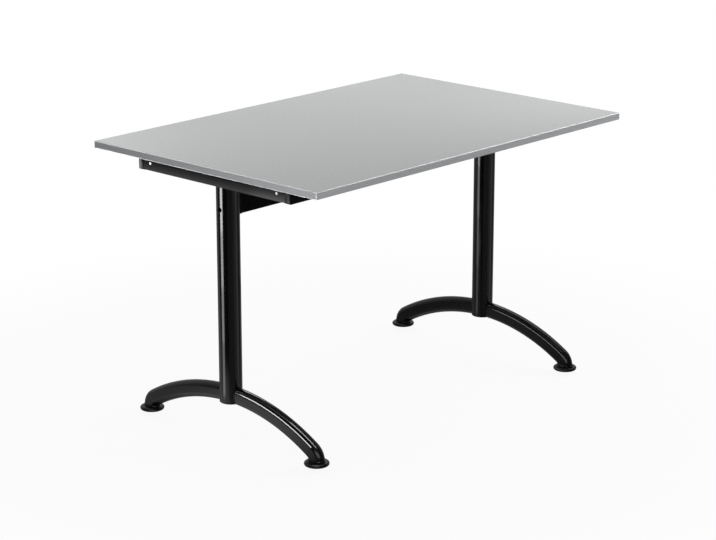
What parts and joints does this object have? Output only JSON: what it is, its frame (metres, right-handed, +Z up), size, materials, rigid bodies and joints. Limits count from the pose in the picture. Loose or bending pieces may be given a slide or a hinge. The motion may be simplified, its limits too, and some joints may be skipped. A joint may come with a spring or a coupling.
{
  "type": "cafeteria table",
  "caption": "Rectangular laminate-topped cafeteria table on two T legs with round columns, bow feet and levelling glides, tied by a beam under the top.",
  "frame": {"origin": "on the floor under the middle of the table top", "axes": "+X along the table, +Y across it to the back, +Z up"},
  "size_m": [1.2, 0.8, 0.74],
  "materials": {
    "laminate": "light grey high-pressure laminate, fine matt texture",
    "backing": "pale balancing laminate, matt",
    "chipboard": "raw chipboard",
    "edge_band": "grey ABS edge band, satin",
    "black_steel": "black semi-gloss powder coat on steel tube",
    "black_plastic": "black moulded polyamide, fine matt grain",
    "glide_plastic": "black moulded polyamide, satin",
    "black_bolt": "black oxide steel bolt",
    "zinc_steel": "bright zinc-plated steel",
    "insert_brass": "turned brass"
  },
  "bodies": {
    "frame": {"top_laminate": "laminate", "backing_laminate": "backing", "top_board": "chipboard", "edge_band_front": "edge_band", "edge_band_back": "edge_band", "edge_band_left": "edge_band", "edge_band_right": "edge_band", "beam": "black_steel", "column_left": "black_steel", "head_channel_left": "black_steel", "column_plug_left": "black_plastic", "top_screws_left": "zinc_steel", "cap_screws_left": "zinc_steel", "beam_end_plate_left": "black_steel", "beam_saddle_left": "black_plastic", "beam_bolts_left": "black_bolt", "channel_cap_front_left": "black_plastic", "foot_arm_front_left": "black_steel", "toe_cap_front_left": "black_plastic", "glide_insert_front_left": "insert_brass", "channel_cap_back_left": "black_plastic", "foot_arm_back_left": "black_steel", "toe_cap_back_left": "black_plastic", "glide_insert_back_left": "insert_brass", "column_right": "black_steel", "head_channel_right": "black_steel", "column_plug_right": "black_plastic", "top_screws_right": "zinc_steel", "cap_screws_right": "zinc_steel", "beam_end_plate_right": "black_steel", "beam_saddle_right": "black_plastic", "beam_bolts_right": "black_bolt", "channel_cap_front_right": "black_plastic", "foot_arm_front_right": "black_steel", "toe_cap_front_right": "black_plastic", "glide_insert_front_right": "insert_brass", "channel_cap_back_right": "black_plastic", "foot_arm_back_right": "black_steel", "toe_cap_back_right": "black_plastic", "glide_insert_back_right": "insert_brass"},
    "pad_front_left": {"glide_pad_front_left": "glide_plastic"},
    "stud_front_left": {"glide_stud_front_left": "zinc_steel"},
    "pad_back_left": {"glide_pad_back_left": "glide_plastic"},
    "stud_back_left": {"glide_stud_back_left": "zinc_steel"},
    "pad_front_right": {"glide_pad_front_right": "glide_plastic"},
    "stud_front_right": {"glide_stud_front_right": "zinc_steel"},
    "pad_back_right": {"glide_pad_back_right": "glide_plastic"},
    "stud_back_right": {"glide_stud_back_right": "zinc_steel"}
  },
  "joints": [
    {"name": "pad_front_left_level", "type": "slide", "parent": "frame", "child": "pad_front_left", "axis": [0, 0, -1], "range_m": [0, 0.012]},
    {"name": "stud_front_left_turn", "type": "hinge", "parent": "pad_front_left", "child": "stud_front_left", "pos_m": [-0.507, -0.306, 0.02], "axis": [0, 0, -1], "range_deg": [-5, 2885]},
    {"name": "pad_back_left_level", "type": "slide", "parent": "frame", "child": "pad_back_left", "axis": [0, 0, -1], "range_m": [0, 0.012]},
    {"name": "stud_back_left_turn", "type": "hinge", "parent": "pad_back_left", "child": "stud_back_left", "pos_m": [-0.507, 0.306, 0.02], "axis": [0, 0, -1], "range_deg": [-5, 2885]},
    {"name": "pad_front_right_level", "type": "slide", "parent": "frame", "child": "pad_front_right", "axis": [0, 0, -1], "range_m": [0, 0.012]},
    {"name": "stud_front_right_turn", "type": "hinge", "parent": "pad_front_right", "child": "stud_front_right", "pos_m": [0.507, -0.306, 0.02], "axis": [0, 0, -1], "range_deg": [-5, 2885]},
    {"name": "pad_back_right_level", "type": "slide", "parent": "frame", "child": "pad_back_right", "axis": [0, 0, -1], "range_m": [0, 0.012]},
    {"name": "stud_back_right_turn", "type": "hinge", "parent": "pad_back_right", "child": "stud_back_right", "pos_m": [0.507, 0.306, 0.02], "axis": [0, 0, -1], "range_deg": [-5, 2885]}
  ],
  "couplings": [
    {"joint": "stud_front_left_turn", "follows": "pad_front_left_level", "rad_per_m": 4188.8},
    {"joint": "stud_back_left_turn", "follows": "pad_back_left_level", "rad_per_m": 4188.8},
    {"joint": "stud_front_right_turn", "follows": "pad_front_right_level", "rad_per_m": 4188.8},
    {"joint": "stud_back_right_turn", "follows": "pad_back_right_level", "rad_per_m": 4188.8}
  ]
}
